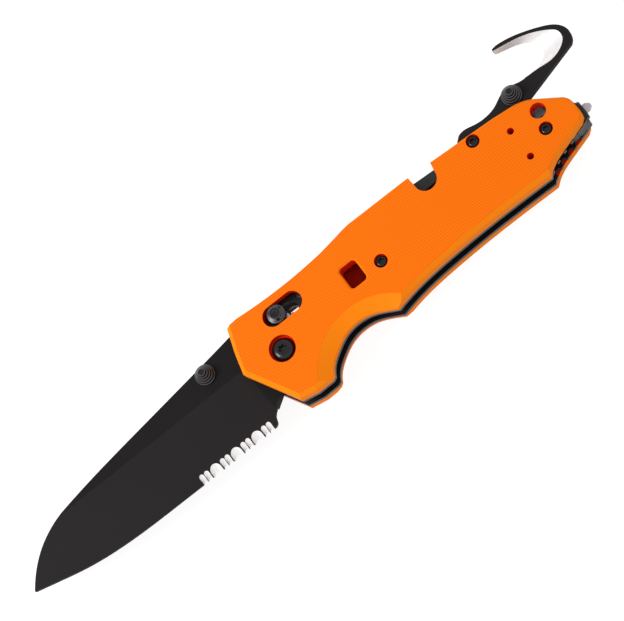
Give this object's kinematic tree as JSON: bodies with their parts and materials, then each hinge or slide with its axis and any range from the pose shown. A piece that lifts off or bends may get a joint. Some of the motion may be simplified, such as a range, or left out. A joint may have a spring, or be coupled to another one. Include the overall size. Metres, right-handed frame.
{
  "type": "folding rigging knife",
  "caption": "Folding rigging knife with sheepsfoot blade, sliding lock bar, fold-out strap-cutter hook, wrench window, glass breaker and pocket clip",
  "frame": {"origin": "under the middle of the opened knife, level with the lowest face of its pocket clip", "axes": "+X runs along the handle from the blade tip towards the butt, +Y points to the spine side, +Z points out of the near scale, which is up as the knife lies on its clip"},
  "size_m": [0.2204, 0.0488, 0.0197],
  "materials": {
    "scales": "orange fibre-reinforced laminate with a fine raised weave, smooth on its chamfers",
    "liners": "dark grey blackened stainless sheet",
    "blade_coating": "matt black coating, bare bright steel where it is ground",
    "gunmetal": "turned dark grey metal with fine rings",
    "black_steel": "glossy black oxide",
    "steel": "plain ground steel",
    "bronze": "thin bronze sheet",
    "carbide": "light grey ground carbide"
  },
  "bodies": {
    "handle": {"front_scale": "scales", "rear_scale": "scales", "front_liner": "liners", "rear_liner": "liners", "butt_spacer": "liners", "spine_spacer": "liners", "pivot_pin": "steel", "stop_pins": "steel", "washer_front": "bronze", "washer_rear": "bronze", "breaker_collar": "black_steel", "breaker_tip": "carbide", "lock_spring_front": "steel", "lock_spring_rear": "steel", "hook_post": "steel", "hook_washer": "bronze", "hook_detent_ball": "steel", "pivot_screw_front": "black_steel", "pivot_screw_rear": "black_steel", "front_scale_screws": "black_steel", "rear_scale_screws": "black_steel", "hook_pivot_screw": "black_steel", "spine_pin": "steel", "pocket_clip": "black_steel", "clip_screws": "black_steel"},
    "blade": {"blade": "blade_coating", "blade_stud_front": "gunmetal", "blade_stud_rear": "gunmetal"},
    "lock": {"lock_bar": "steel", "lock_knob_front": "gunmetal", "lock_knob_rear": "gunmetal"},
    "hook": {"hook": "blade_coating", "hook_stud": "gunmetal"}
  },
  "joints": [
    {"name": "blade_pivot", "type": "hinge", "parent": "handle", "child": "blade", "pos_m": [-0.00997, -0.00847, 0.0098], "axis": [0, 0, 1], "range_deg": [0, 173]},
    {"name": "lock_slide", "type": "slide", "parent": "handle", "child": "lock", "axis": [1, 0, 0], "range_m": [0, 0.0038], "stiffness_N_per_m": 800, "springref_m": -0.004, "deforming": ["lock_spring_front", "lock_spring_rear"]},
    {"name": "hook_pivot", "type": "hinge", "parent": "handle", "child": "hook", "pos_m": [0.06903, 0.00487, 0.0145], "axis": [0, 0, 1], "range_deg": [0, 166]}
  ]
}
